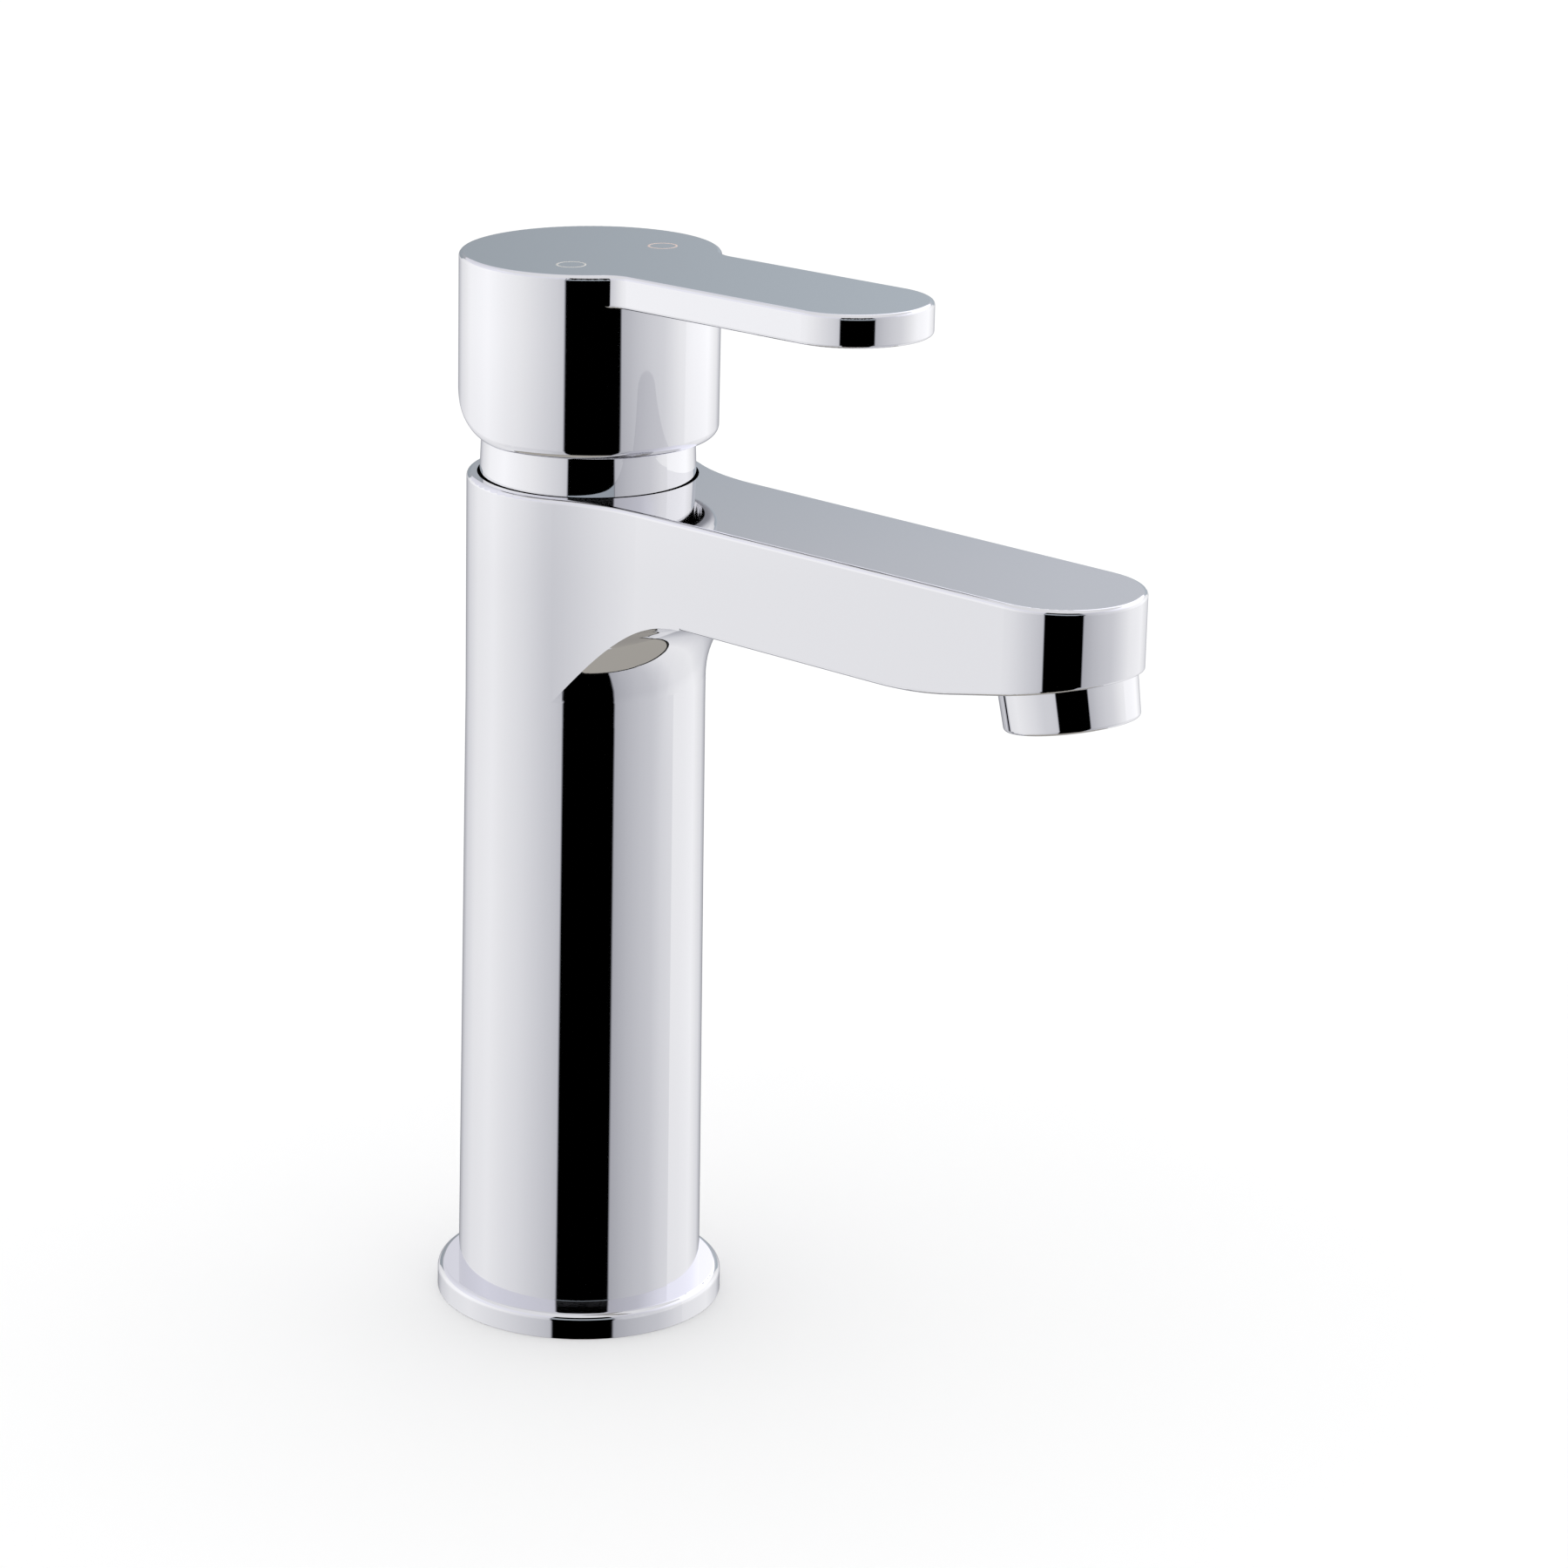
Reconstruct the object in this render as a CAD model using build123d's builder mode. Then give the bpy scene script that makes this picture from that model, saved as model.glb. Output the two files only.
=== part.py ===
from build123d import *
import math
import os

# Single-lever basin mixer with a 35 mm ceramic cartridge and an M24 aerator.
# Millimetres. The origin is the centre of the foot, on the basin's deck.
# +Z is up and the spout points along +X.

os.makedirs("parts", exist_ok=True)

# Column, spout and their rim, which share one flat top
foot_r = 25.0
column_r = 24.05
straight_from_z = 128.0
spout_low_z = 130.0
lower_edge_r = 0.7
lower_edge_from_x = 45.0
rim_z = 174.0
spout_bottom_z = 153.0
spout_tip_x = 135.5
spout_root_half = 17.2
spout_tip_half = 16.1
side_blend_r = 40.0
root_blend_r = 20.0
facet_start_x = 90.0
facet_bend_x = 99.0
facet_end_x = 107.0
facet_angle = 11.0
facet_drop = 0.4
top_edge_r = 0.9
ring_h = 5.2

# How far cutting shapes run into or past the body
overlap = 3.0
reach = 60.0
above_z = 200.0

# Waterway in the spout, and the window that joins it to the pocket
channel_half = 12.5
channel_start_x = 26.0
channel_low_z = 156.2
channel_bend_x = 96.0
channel_rise_x = 108.0
channel_rise_z = 161.6
channel_end_z = 164.4
channel_top_z = 170.8
window_x = 21.0
window_len = 12.0
window_wide = 18.0
window_h = 6.0

# Base ring and foot
ring_r = 29.35
ring_edge_r = 1.4
ring_bore_r = 21.5
foot_block_r = 21.2
foot_block_top_z = 20.0
cavity_r = 20.8
web_bottom_z = 140.0
stud_r = 3.4
inlet_r = 4.5
inlet_depth = 14.0
riser_x = 5.2
riser_y = 7.2
riser_outer_r = 4.97
riser_hole_r = 5.0
riser_inner_r = 4.0
riser_socket_z = 146.0
riser_end_gap = 0.5

# Cartridge seat
seat_z = 150.0
pocket_r = 17.7
thread_r = 18.5
thread_bottom_z = 176.5
collar_r = 20.2
collar_top_z = 181.0
groove_bottom_z = 168.0
groove_outer_r = 22.0
port_x = 4.8
port_y = 6.2
port_r = 2.6
bonnet_groove_r = 19.25
bonnet_groove_low_z = 176.35
bonnet_groove_high_z = 177.65

# Aerator
aerator_x = 122.0
aerator_thread_r = 12.0
aerator_thread_len = 6.5
aerator_recess = 3.0
chamber_r = 10.0
chamber_top = 12.5
shell_top_r = 13.0
shell_bottom_r = 12.65
shell_drop = 8.1
shell_edge_r = 0.7
shell_mouth_r = 9.4
thread_gap = 0.05
stub_len = 5.3

# Handle
pivot_z = 181.0
handle_r = 25.75
handle_bottom_z = 182.3
handle_top_z = 218.4
handle_slope = 0.87
handle_bore_r = 23.3
lever_half = 15.0
lever_tip_x = 83.2
lever_thick = 6.3
lever_blend_r = 6.0
boss_r = 8.0
boss_bottom_z = 202.5
spindle_half = 3.5
spindle_top_z = 210.6
screw_z = 208.4
back_cut_x = 2.0
back_cut_half = 27.0
back_cut_h = 22.0
back_cut_below = 12.0
skirt_edge_r = 1.9
top_rim_r = 0.9
lever_edge_r = 0.6
skirt_top_z = 214.0
hollow_top_z = 212.1
spindle_gap = 0.1
spindle_foot_z = 177.2
spindle_neck_r = 1.6
screw_r = 2.0
screw_len = 6.0
socket_hex_r = 1.15
socket_depth = 2.5
plug_r = 2.55
plug_len = 2.3
screw_gap = 0.05


def facet_z(x):
    """Height of the spout's sloping facet at x."""
    rise = (x - facet_bend_x) * math.tan(math.radians(facet_angle))
    return spout_bottom_z - facet_drop + rise


def ring_solid(outer_r, inner_r, low_z, high_z):
    """Plain ring about the vertical axis."""
    with BuildPart() as ring:
        with BuildSketch(Plane.XY.offset(low_z)):
            Circle(outer_r)
            Circle(inner_r, mode=Mode.SUBTRACT)
        extrude(amount=high_z - low_z)
    return ring.part


# Aerator axis: normal to the facet, pointing up into the spout
tilt = math.radians(facet_angle)
aerator_plane = Plane(
    origin=(aerator_x, 0, facet_z(aerator_x)),
    x_dir=(math.cos(tilt), 0, math.sin(tilt)),
    z_dir=(-math.sin(tilt), 0, math.cos(tilt)),
)

# ---- Body casting ----

# Outline of the spout seen from above, blended into the column
spout_base_x = spout_tip_x - spout_tip_half
with BuildSketch(Plane.XY.offset(spout_low_z)) as spout_plan:
    with BuildLine():
        Polyline(
            (spout_base_x, -spout_tip_half),
            (0, -spout_root_half),
            (0, spout_root_half),
            (spout_base_x, spout_tip_half),
        )
        CenterArc((spout_base_x, 0), spout_tip_half, -90, 180)
    make_face()
    Circle(column_r)
    corners = [
        v for v in spout_plan.vertices() if 5 < v.X < column_r and abs(v.Y) > 10
    ]
    fillet(corners, radius=side_blend_r)

# Side view of the spout's underside, with its root blend left to the flare
underside_end_x = spout_tip_x + overlap
underside_end_z = facet_z(underside_end_x)
with BuildPart() as spout_block:
    add(spout_plan.sketch)
    extrude(amount=rim_z - spout_low_z)
    with BuildSketch(Plane.XZ.offset(-reach)):
        with BuildLine():
            Line((-reach, spout_bottom_z), (0, spout_bottom_z))
            Line((0, spout_bottom_z), (facet_start_x, spout_bottom_z - facet_drop))
            Bezier(
                (facet_start_x, spout_bottom_z - facet_drop),
                (facet_bend_x, spout_bottom_z - facet_drop),
                (facet_end_x, facet_z(facet_end_x)),
            )
            Line((facet_end_x, facet_z(facet_end_x)), (underside_end_x, underside_end_z))
            Polyline(
                (underside_end_x, underside_end_z),
                (underside_end_x, above_z),
                (-reach, above_z),
                (-reach, spout_bottom_z),
            )
        make_face()
    extrude(amount=2 * reach, mode=Mode.INTERSECT)

# Flare that blends the underside into the column, cut to the spout's outline
flare_end_drop = facet_drop * (column_r + root_blend_r) / facet_start_x
with BuildPart() as root_flare:
    with BuildSketch(Plane.XZ):
        with BuildLine():
            Polyline(
                (column_r, spout_bottom_z - root_blend_r),
                (column_r - overlap, spout_bottom_z - root_blend_r),
                (column_r - overlap, spout_bottom_z + overlap),
                (column_r + root_blend_r, spout_bottom_z + overlap),
                (column_r + root_blend_r, spout_bottom_z - flare_end_drop),
            )
            RadiusArc(
                (column_r + root_blend_r, spout_bottom_z - flare_end_drop),
                (column_r, spout_bottom_z - root_blend_r),
                -root_blend_r,
            )
        make_face()
    revolve(axis=Axis.Z)
    add(spout_plan.sketch)
    extrude(amount=rim_z - spout_low_z, mode=Mode.INTERSECT)

# Waterway inside the spout
with BuildPart() as spout_channel:
    with BuildSketch(Plane.XZ.offset(-channel_half)):
        Polygon(
            (channel_start_x, channel_low_z),
            (channel_bend_x, channel_low_z),
            (channel_rise_x, channel_rise_z),
            (aerator_x, channel_end_z),
            (aerator_x, channel_top_z),
            (channel_start_x, channel_top_z),
            align=None,
        )
    extrude(amount=2 * channel_half)

with BuildPart() as body_casting:
    with BuildSketch(Plane.XZ):
        Polygon(
            (0, ring_h),
            (foot_r, ring_h),
            (column_r, straight_from_z),
            (column_r, rim_z),
            (0, rim_z),
            align=None,
        )
    revolve(axis=Axis.Z)
    add(spout_block.part)
    add(root_flare.part)
    lower_edges = [
        e for e in body_casting.edges()
        if e.length > 3 and e.center().X > lower_edge_from_x and e.center().Z < 162
        and (abs(e.center().Y) > 15 or e.center().X > 125)
        and abs(e.tangent_at(0.5).Z) < 0.9
    ]
    fillet(lower_edges, radius=lower_edge_r)
    rim_edges = [
        e for e in body_casting.edges()
        if abs(e.center().Z - rim_z) < 0.01
    ]
    fillet(rim_edges, radius=top_edge_r)
    # collar that carries the bonnet
    with BuildSketch(Plane.XY.offset(rim_z - 1)):
        Circle(collar_r)
    extrude(amount=collar_top_z - rim_z + 1)
    # groove around the collar
    with BuildSketch(Plane.XY.offset(groove_bottom_z)):
        Circle(groove_outer_r)
        Circle(collar_r, mode=Mode.SUBTRACT)
    extrude(amount=rim_z + 1 - groove_bottom_z, mode=Mode.SUBTRACT)
    # groove for the bonnet's friction ring
    add(
        ring_solid(collar_r + 1, bonnet_groove_r, bonnet_groove_low_z, bonnet_groove_high_z),
        mode=Mode.SUBTRACT,
    )
    # cartridge pocket and nut thread
    with BuildSketch(Plane.XY.offset(seat_z)):
        Circle(pocket_r)
    extrude(amount=above_z - seat_z, mode=Mode.SUBTRACT)
    with BuildSketch(Plane.XY.offset(thread_bottom_z)):
        Circle(thread_r)
    extrude(amount=above_z - thread_bottom_z, mode=Mode.SUBTRACT)
    # hollow column, open at the foot
    with BuildSketch(Plane.XY.offset(ring_h)):
        Circle(cavity_r)
    extrude(amount=web_bottom_z - ring_h, mode=Mode.SUBTRACT)
    with BuildSketch(Plane.XY.offset(ring_h)):
        Circle(foot_block_r)
    extrude(amount=foot_block_top_z - ring_h, mode=Mode.SUBTRACT)
    # hot and cold sockets and ports through the seat web
    for side in (-1, 1):
        with BuildSketch(Plane.XY.offset(web_bottom_z)):
            with Locations((riser_x, side * riser_y)):
                Circle(riser_hole_r)
        extrude(amount=riser_socket_z - web_bottom_z, mode=Mode.SUBTRACT)
        with BuildSketch(Plane.XY.offset(riser_socket_z - riser_end_gap)):
            with Locations((port_x, side * port_y)):
                Circle(port_r)
        extrude(amount=seat_z - riser_socket_z + 2 * riser_end_gap, mode=Mode.SUBTRACT)
    # waterway from the pocket to the aerator
    add(spout_channel.part, mode=Mode.SUBTRACT)
    with BuildSketch(Plane.XY.offset(channel_low_z)):
        with Locations((window_x, 0)):
            Rectangle(window_len, window_wide)
    extrude(amount=window_h, mode=Mode.SUBTRACT)
    with BuildSketch(aerator_plane.offset(-aerator_recess)):
        Circle(aerator_thread_r)
    extrude(amount=aerator_thread_len + aerator_recess, mode=Mode.SUBTRACT)
    with BuildSketch(aerator_plane):
        Circle(chamber_r)
    extrude(amount=chamber_top, mode=Mode.SUBTRACT)
body_casting.part.label = "body_casting"
export_step(body_casting.part, "parts/body_casting.step")

# ---- Foot ----

# Round base ring with a gasket groove in its underside
gasket_outer_r = 27.4
gasket_inner_r = 23.6
gasket_h = 1.5
with BuildPart() as base_ring:
    with BuildSketch():
        Circle(ring_r)
        Circle(ring_bore_r, mode=Mode.SUBTRACT)
    extrude(amount=ring_h)
    outer_top = base_ring.edges().filter_by(GeomType.CIRCLE).sort_by(
        lambda e: e.radius + 10 * e.center().Z
    )[-1]
    fillet(outer_top, radius=ring_edge_r)
    with BuildSketch():
        Circle(gasket_outer_r)
        Circle(gasket_inner_r, mode=Mode.SUBTRACT)
    extrude(amount=gasket_h, mode=Mode.SUBTRACT)
base_ring.part.label = "base_ring"
export_step(base_ring.part, "parts/base_ring.step")

with BuildPart() as base_gasket:
    add(ring_solid(gasket_outer_r, gasket_inner_r, 0, gasket_h))
base_gasket.part.label = "base_gasket"
export_step(base_gasket.part, "parts/base_gasket.step")

# Foot block pressed into the column, with the stud and hose threads
with BuildPart() as foot_block:
    with BuildSketch():
        Circle(foot_block_r)
        Circle(stud_r, mode=Mode.SUBTRACT)
    extrude(amount=foot_block_top_z)
    for side in (-1, 1):
        with BuildSketch():
            with Locations((riser_x, side * riser_y)):
                Circle(inlet_r)
        extrude(amount=inlet_depth, mode=Mode.SUBTRACT)
        with BuildSketch(Plane.XY.offset(inlet_depth)):
            with Locations((riser_x, side * riser_y)):
                Circle(riser_hole_r)
        extrude(amount=foot_block_top_z - inlet_depth, mode=Mode.SUBTRACT)
foot_block.part.label = "foot_block"
export_step(foot_block.part, "parts/foot_block.step")


# Riser tubes from the hose threads to the cartridge seat
def riser_tube(side):
    """Tube from the foot block to the seat web."""
    with BuildPart() as tube:
        with BuildSketch(Plane.XY.offset(inlet_depth)):
            with Locations((riser_x, side * riser_y)):
                Circle(riser_outer_r)
                Circle(riser_inner_r, mode=Mode.SUBTRACT)
        extrude(amount=riser_socket_z - riser_end_gap - inlet_depth)
    return tube.part


for riser_name, side in (("cold_riser", -1), ("hot_riser", 1)):
    with BuildPart() as riser:
        add(riser_tube(side))
    riser.part.label = riser_name
    export_step(riser.part, f"parts/{riser_name}.step")

# ---- Cartridge ----

base_bottom_z = 150.3
base_top_z = 163.2
shoulder_z = 177.0
housing_r = 17.5
neck_r = 13.7
neck_top_z = 190.0
chamber_wall_r = 15.2
rotor_r = 12.0
rotor_bore_r = 12.05
rotor_ledge_z = 174.6
outlet_x = -3.6
outlet_r = 3.2
seal_inner_r = 2.6
seal_outer_r = 4.4
waist_r = 14.5
waist_low_z = 154.5
waist_high_z = 161.6
base_port_r = 2.4
seal_seat_h = 1.3
seal_h = 1.6
disc_seal_r = 3.6
disc_seal_h = 1.2
outlet_low_z = 155.5
outlet_high_z = 161.0
outlet_slot_len = 16.0
outlet_slot_wide = 6.0

# Base with two inlets, a centre outlet and a side window for mixed water
with BuildPart() as cartridge_base:
    with BuildSketch(Plane.XY.offset(base_bottom_z)):
        Circle(housing_r)
    extrude(amount=base_top_z - base_bottom_z)
    add(ring_solid(housing_r + 1, waist_r, waist_low_z, waist_high_z), mode=Mode.SUBTRACT)
    for side in (-1, 1):
        with BuildSketch(Plane.XY.offset(base_bottom_z)):
            with Locations((port_x, side * port_y)):
                Circle(base_port_r)
        extrude(amount=base_top_z - base_bottom_z, mode=Mode.SUBTRACT)
        with BuildSketch(Plane.XY.offset(base_bottom_z)):
            with Locations((port_x, side * port_y)):
                Circle(seal_outer_r)
        extrude(amount=seal_seat_h, mode=Mode.SUBTRACT)
        with BuildSketch(Plane.XY.offset(base_top_z - disc_seal_h)):
            with Locations((port_x, side * port_y)):
                Circle(disc_seal_r)
        extrude(amount=disc_seal_h, mode=Mode.SUBTRACT)
    with BuildSketch(Plane.XY.offset(outlet_low_z)):
        with Locations((outlet_x, 0)):
            Circle(outlet_r)
    extrude(amount=base_top_z - outlet_low_z, mode=Mode.SUBTRACT)
    with BuildSketch(Plane.XY.offset(outlet_low_z)):
        with Locations((outlet_x - outlet_slot_len / 2, 0)):
            Rectangle(outlet_slot_len, outlet_slot_wide)
    extrude(amount=outlet_high_z - outlet_low_z, mode=Mode.SUBTRACT)
cartridge_base.part.label = "cartridge_base"
export_step(cartridge_base.part, "parts/cartridge_base.step")

# Rubber seals: two under the base and two under the fixed disc
with BuildPart() as inlet_seals:
    with BuildSketch(Plane.XY.offset(seat_z)):
        with Locations((port_x, -port_y), (port_x, port_y)):
            Circle(seal_outer_r)
            Circle(seal_inner_r, mode=Mode.SUBTRACT)
    extrude(amount=seal_h)
inlet_seals.part.label = "inlet_seals"
export_step(inlet_seals.part, "parts/inlet_seals.step")

with BuildPart() as disc_seals:
    with BuildSketch(Plane.XY.offset(base_top_z - disc_seal_h)):
        with Locations((port_x, -port_y), (port_x, port_y)):
            Circle(disc_seal_r)
            Circle(base_port_r, mode=Mode.SUBTRACT)
    extrude(amount=disc_seal_h)
disc_seals.part.label = "disc_seals"
export_step(disc_seals.part, "parts/disc_seals.step")

# Housing with a disc chamber below and a bearing neck above
oring_groove_r = 16.3
oring_groove_low_z = 164.3
oring_groove_high_z = 165.7
oring_section_r = 0.7
neck_chamfer = 0.7
with BuildPart() as cartridge_housing:
    with BuildSketch(Plane.XZ):
        Polygon(
            (chamber_wall_r, base_top_z),
            (housing_r, base_top_z),
            (housing_r, oring_groove_low_z),
            (oring_groove_r, oring_groove_low_z),
            (oring_groove_r, oring_groove_high_z),
            (housing_r, oring_groove_high_z),
            (housing_r, shoulder_z),
            (neck_r, shoulder_z),
            (neck_r, neck_top_z - neck_chamfer),
            (neck_r - neck_chamfer, neck_top_z),
            (rotor_bore_r, neck_top_z),
            (rotor_bore_r, rotor_ledge_z),
            (chamber_wall_r, rotor_ledge_z),
            align=None,
        )
    revolve(axis=Axis.Z)
cartridge_housing.part.label = "cartridge_housing"
export_step(cartridge_housing.part, "parts/cartridge_housing.step")

with BuildPart() as housing_oring:
    with BuildSketch(Plane.XZ):
        with Locations((pocket_r - oring_section_r, (oring_groove_low_z + oring_groove_high_z) / 2)):
            Circle(oring_section_r)
    revolve(axis=Axis.Z)
housing_oring.part.label = "housing_oring"
export_step(housing_oring.part, "parts/housing_oring.step")

# Ceramic discs: the fixed one has three ports, the moving one a mixing recess
disc_split_z = 167.0
disc_film = 0.05
fixed_disc_r = 14.9
moving_disc_r = 10.5
moving_disc_top_z = 170.4
recess_x = -2.6
recess_r = 6.2
recess_h = 1.8
with BuildPart() as fixed_disc:
    with BuildSketch(Plane.XY.offset(base_top_z)):
        Circle(fixed_disc_r)
        with Locations((port_x, -port_y), (port_x, port_y)):
            Circle(base_port_r, mode=Mode.SUBTRACT)
        with Locations((outlet_x, 0)):
            Circle(outlet_r, mode=Mode.SUBTRACT)
    extrude(amount=disc_split_z - base_top_z)
fixed_disc.part.label = "fixed_disc"
export_step(fixed_disc.part, "parts/fixed_disc.step")

with BuildPart() as moving_disc:
    with BuildSketch(Plane.XY.offset(disc_split_z + disc_film)):
        Circle(moving_disc_r)
    extrude(amount=moving_disc_top_z - disc_split_z - disc_film)
    with BuildSketch(Plane.XY.offset(disc_split_z)):
        with Locations((recess_x, 0)):
            Circle(recess_r)
    extrude(amount=recess_h, mode=Mode.SUBTRACT)
moving_disc.part.label = "moving_disc"
export_step(moving_disc.part, "parts/moving_disc.step")

# Carrier that drags the moving disc, with a socket for the spindle's ball
ball_z = 173.6
ball_r = 2.2
socket_r = 2.45
carrier_plate_top_z = 172.0
carrier_top_z = 175.5
carrier_block_len = 10.0
carrier_block_wide = 9.2
socket_bottom_z = 171.2
socket_flare_z = 174.3
socket_mouth_r = 3.7
with BuildPart() as disc_carrier:
    with BuildSketch(Plane.XY.offset(moving_disc_top_z)):
        Circle(moving_disc_r)
    extrude(amount=carrier_plate_top_z - moving_disc_top_z)
    with BuildSketch(Plane.XY.offset(carrier_plate_top_z)):
        Rectangle(carrier_block_len, carrier_block_wide)
    extrude(amount=carrier_top_z - carrier_plate_top_z)
    with BuildSketch(Plane.XZ):
        Polygon(
            (0, socket_bottom_z),
            (socket_r, socket_bottom_z),
            (socket_r, socket_flare_z),
            (socket_mouth_r, carrier_top_z),
            (socket_mouth_r, carrier_top_z + 1),
            (0, carrier_top_z + 1),
            align=None,
        )
    revolve(axis=Axis.Z, mode=Mode.SUBTRACT)
disc_carrier.part.label = "disc_carrier"
export_step(disc_carrier.part, "parts/disc_carrier.step")

# Rotor that turns in the neck and carries the pivot pin
pin_r = 1.5
pin_hole_r = 1.505
pin_run_r = 1.53
pin_half = 11.4
rotor_bottom_z = 172.3
rotor_top_z = 191.0
flange_r = 14.6
flange_h = 2.0
carrier_bay_len = 18.0
carrier_bay_wide = 9.8
carrier_bay_top_z = 176.2
slot_x = -1.3
slot_len = 14.6
slot_wide = 7.8
with BuildPart() as rotor:
    with BuildSketch(Plane.XY.offset(rotor_bottom_z)):
        Circle(rotor_r)
    extrude(amount=rotor_top_z - rotor_bottom_z)
    with BuildSketch(Plane.XY.offset(rotor_bottom_z)):
        Circle(flange_r)
    extrude(amount=flange_h)
    with BuildSketch(Plane.XY.offset(rotor_bottom_z)):
        Rectangle(carrier_bay_len, carrier_bay_wide)
    extrude(amount=carrier_bay_top_z - rotor_bottom_z, mode=Mode.SUBTRACT)
    with BuildSketch(Plane.XY.offset(rotor_bottom_z)):
        with Locations((slot_x, 0)):
            Rectangle(slot_len, slot_wide)
    extrude(amount=rotor_top_z - rotor_bottom_z, mode=Mode.SUBTRACT)
    with BuildSketch(Plane.XZ.offset(-reach)):
        with Locations((0, pivot_z)):
            Circle(pin_hole_r)
    extrude(amount=2 * reach, mode=Mode.SUBTRACT)
rotor.part.label = "rotor"
export_step(rotor.part, "parts/rotor.step")

with BuildPart() as pivot_pin:
    with BuildSketch(Plane.XZ.offset(-pin_half)):
        with Locations((0, pivot_z)):
            Circle(pin_r)
    extrude(amount=2 * pin_half)
pivot_pin.part.label = "pivot_pin"
export_step(pivot_pin.part, "parts/pivot_pin.step")

# Brass nut that clamps the cartridge
nut_top_z = 182.0
nut_inner_r = 14.0
nut_outer_r = 18.45
nut_slot_r = 17.4
nut_slot_len = 4.0
nut_slot_wide = 3.5
nut_slot_h = 1.5
with BuildPart() as cartridge_nut:
    add(ring_solid(nut_outer_r, nut_inner_r, shoulder_z, nut_top_z))
    with BuildSketch(Plane.XY.offset(nut_top_z - nut_slot_h)):
        with PolarLocations(nut_slot_r, 6):
            Rectangle(nut_slot_len, nut_slot_wide)
    extrude(amount=nut_slot_h, mode=Mode.SUBTRACT)
cartridge_nut.part.label = "cartridge_nut"
export_step(cartridge_nut.part, "parts/cartridge_nut.step")

# ---- Bonnet ----

bonnet_bottom_r = 21.7
bonnet_dome_r = 21.2
dome_inner_r = 20.0
dome_hole_r = 14.5
bonnet_bore_r = 20.55
bonnet_low_z = groove_bottom_z + 0.4
bonnet_ring_section_r = 0.65
hole_angle = math.acos(dome_hole_r / bonnet_dome_r)
inner_angle = math.acos(dome_hole_r / dome_inner_r)
with BuildPart() as bonnet:
    with BuildSketch(Plane.XZ):
        with BuildLine():
            Line((bonnet_bore_r, bonnet_low_z), (bonnet_bottom_r, bonnet_low_z))
            Line((bonnet_bottom_r, bonnet_low_z), (bonnet_dome_r, pivot_z))
            CenterArc((0, pivot_z), bonnet_dome_r, 0, math.degrees(hole_angle))
            Line(
                (dome_hole_r, pivot_z + bonnet_dome_r * math.sin(hole_angle)),
                (dome_hole_r, pivot_z + dome_inner_r * math.sin(inner_angle)),
            )
            CenterArc((0, pivot_z), dome_inner_r, 0, math.degrees(inner_angle))
            Line((dome_inner_r, pivot_z), (bonnet_bore_r, pivot_z))
            Line((bonnet_bore_r, pivot_z), (bonnet_bore_r, bonnet_low_z))
        make_face()
    revolve(axis=Axis.Z)
bonnet.part.label = "bonnet"
export_step(bonnet.part, "parts/bonnet.step")

with BuildPart() as bonnet_ring:
    with BuildSketch(Plane.XZ):
        with Locations((
            bonnet_groove_r + bonnet_ring_section_r,
            (bonnet_groove_low_z + bonnet_groove_high_z) / 2,
        )):
            Circle(bonnet_ring_section_r)
    revolve(axis=Axis.Z)
bonnet_ring.part.label = "bonnet_ring"
export_step(bonnet_ring.part, "parts/bonnet_ring.step")

# ---- Aerator ----

core_r = 10.2
core_low = -6.2
core_high = 4.2
core_floor = 4.0
core_wall = 1.2
core_hole_r = 0.85
core_hole_apothem = 1.25
core_field_r = 8.2
screen_r = 10.0
screen_h = 0.6
screen_hole_r = 0.7
screen_hole_apothem = 1.1
screen_field_r = 8.4
gasket_ring_r = 11.6
gasket_hole_r = 8.6
gasket_thick = 1.2
with BuildPart() as aerator_shell:
    with BuildSketch(aerator_plane.offset(-shell_drop)):
        Circle(shell_bottom_r)
    with BuildSketch(aerator_plane):
        Circle(shell_top_r)
    loft()
    lower_rim = aerator_shell.edges().filter_by(GeomType.CIRCLE).sort_by(
        lambda e: e.center().Z
    )[0]
    fillet(lower_rim, radius=shell_edge_r)
    with BuildSketch(aerator_plane):
        Circle(aerator_thread_r - thread_gap)
    extrude(amount=stub_len)
    with BuildSketch(aerator_plane.offset(core_low)):
        Circle(core_r)
    extrude(amount=reach, mode=Mode.SUBTRACT)
    with BuildSketch(aerator_plane.offset(-shell_drop - 1)):
        Circle(shell_mouth_r)
    extrude(amount=reach, mode=Mode.SUBTRACT)
aerator_shell.part.label = "aerator_shell"
export_step(aerator_shell.part, "parts/aerator_shell.step")

with BuildPart() as aerator_gasket:
    with BuildSketch(aerator_plane.offset(stub_len)):
        Circle(gasket_ring_r)
        Circle(gasket_hole_r, mode=Mode.SUBTRACT)
    extrude(amount=gasket_thick)
aerator_gasket.part.label = "aerator_gasket"
export_step(aerator_gasket.part, "parts/aerator_gasket.step")

# Core with a grid of straight outlet holes
with BuildPart() as aerator_core:
    with BuildSketch(aerator_plane.offset(core_low)):
        Circle(core_r)
    extrude(amount=core_high - core_low)
    with BuildSketch(aerator_plane.offset(core_low + core_floor)):
        Circle(core_r - core_wall)
    extrude(amount=core_high - core_low, mode=Mode.SUBTRACT)
    with BuildSketch(aerator_plane.offset(core_low)):
        with HexLocations(core_hole_apothem, 7, 7):
            Circle(core_hole_r)
        Circle(core_field_r, mode=Mode.INTERSECT)
    extrude(amount=core_floor, mode=Mode.SUBTRACT)
aerator_core.part.label = "aerator_core"
export_step(aerator_core.part, "parts/aerator_core.step")

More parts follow.
